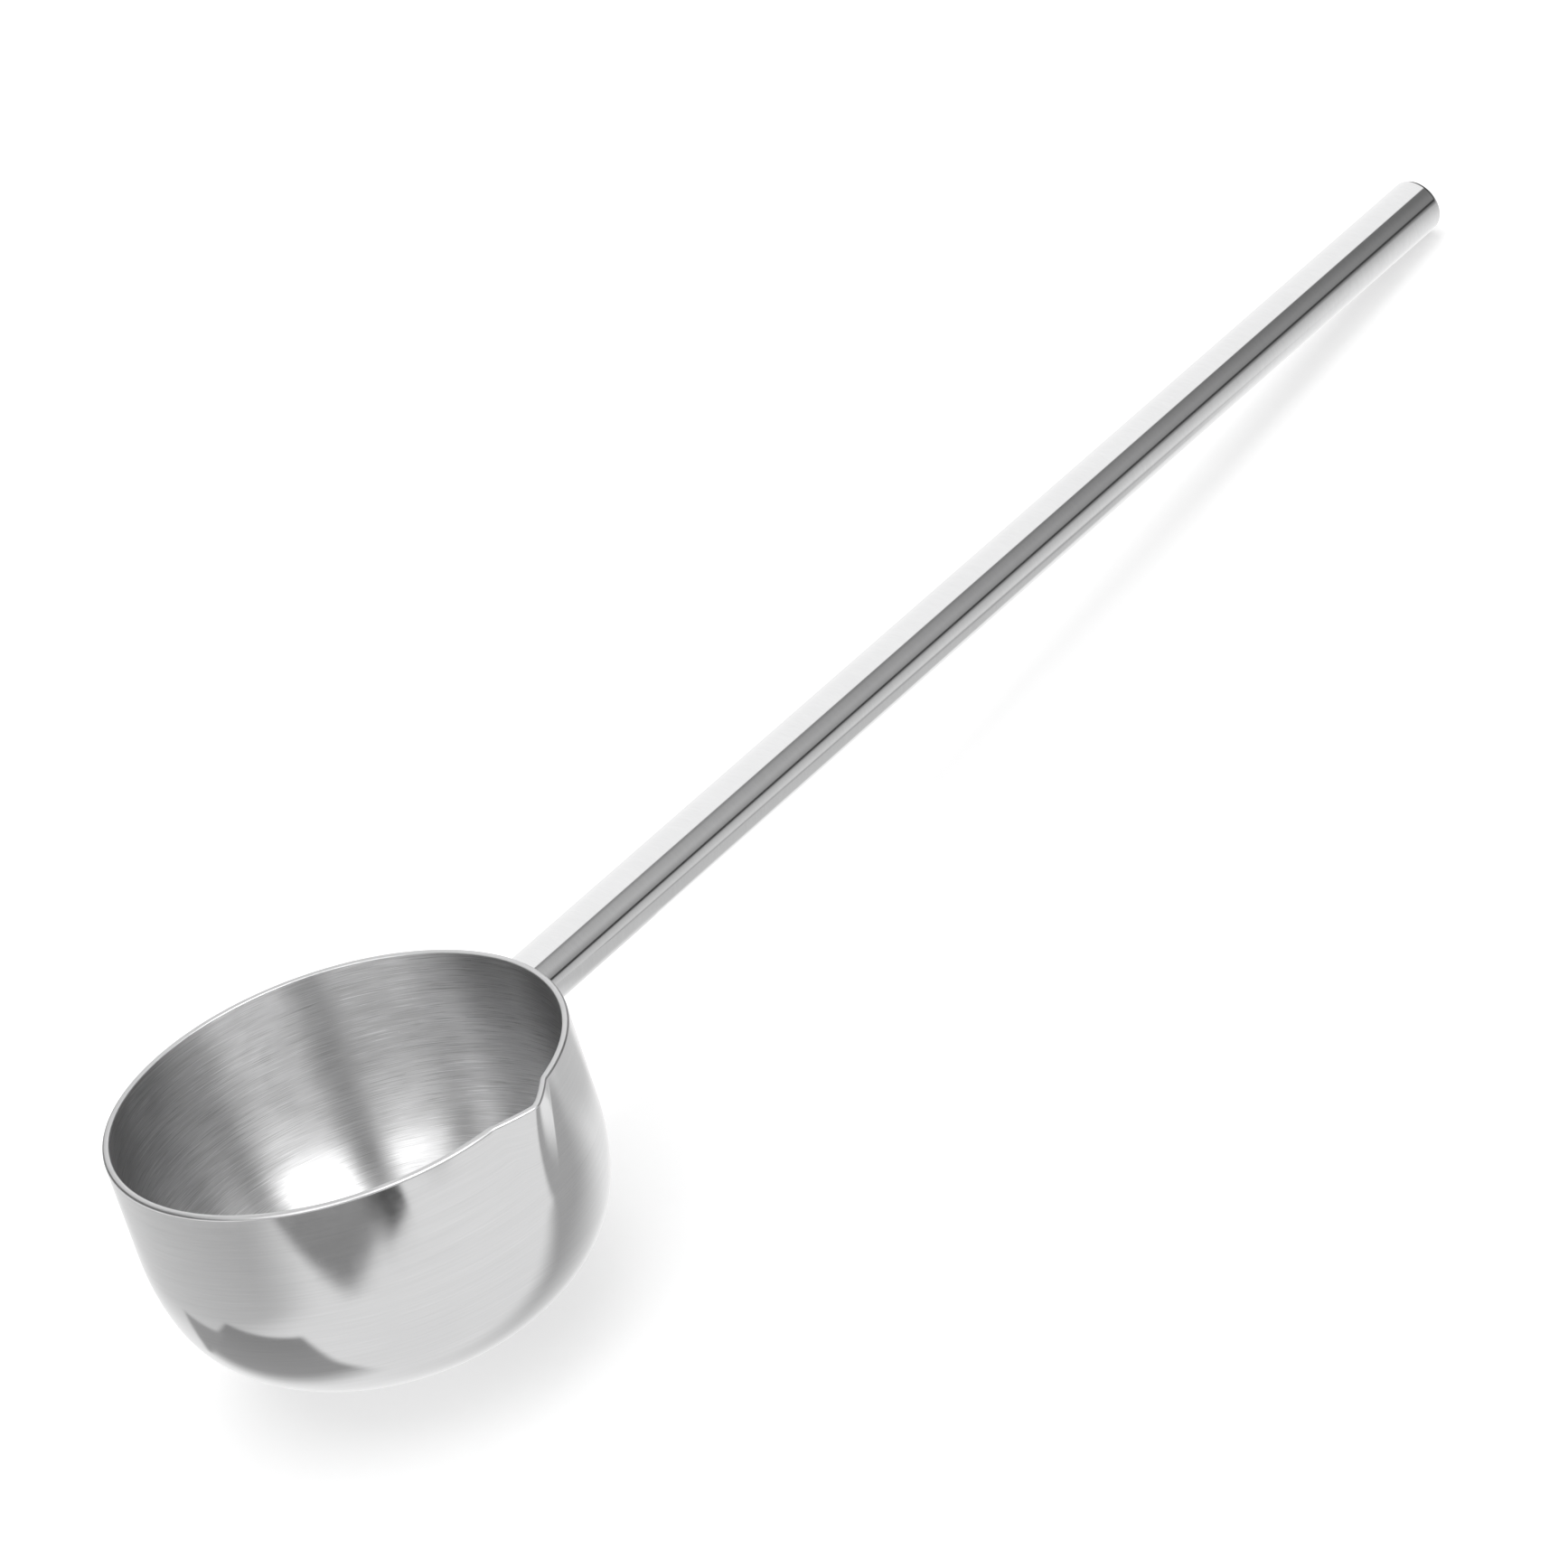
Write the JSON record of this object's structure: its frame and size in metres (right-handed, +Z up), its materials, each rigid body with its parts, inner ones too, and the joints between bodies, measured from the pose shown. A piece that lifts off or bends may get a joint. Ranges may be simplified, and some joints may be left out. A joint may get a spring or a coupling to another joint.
{
  "type": "water ladle",
  "caption": "Stainless steel water ladle: a deep round bowl with a pinched pouring spout and a long straight tubular handle welded to its side.",
  "frame": {"origin": "middle of the ladle's footprint, on the table that it lies on: it rests on the edge of the bowl's flat foot and on the tip of the handle", "axes": "+Z up from the table, +X from the bowl along the handle, so that the spout points to -Y"},
  "size_m": [0.4294, 0.099, 0.0611],
  "materials": {
    "bowl_steel": "brushed in rings inside, soft mirror polish outside",
    "handle_steel": "mirror polished",
    "weld_steel": "ground and polished weld"
  },
  "bodies": {
    "root": {"bowl": "bowl_steel", "handle_tube": "handle_steel", "end_cap": "handle_steel", "neck_weld": "weld_steel", "cap_weld": "weld_steel"}
  },
  "joints": []
}
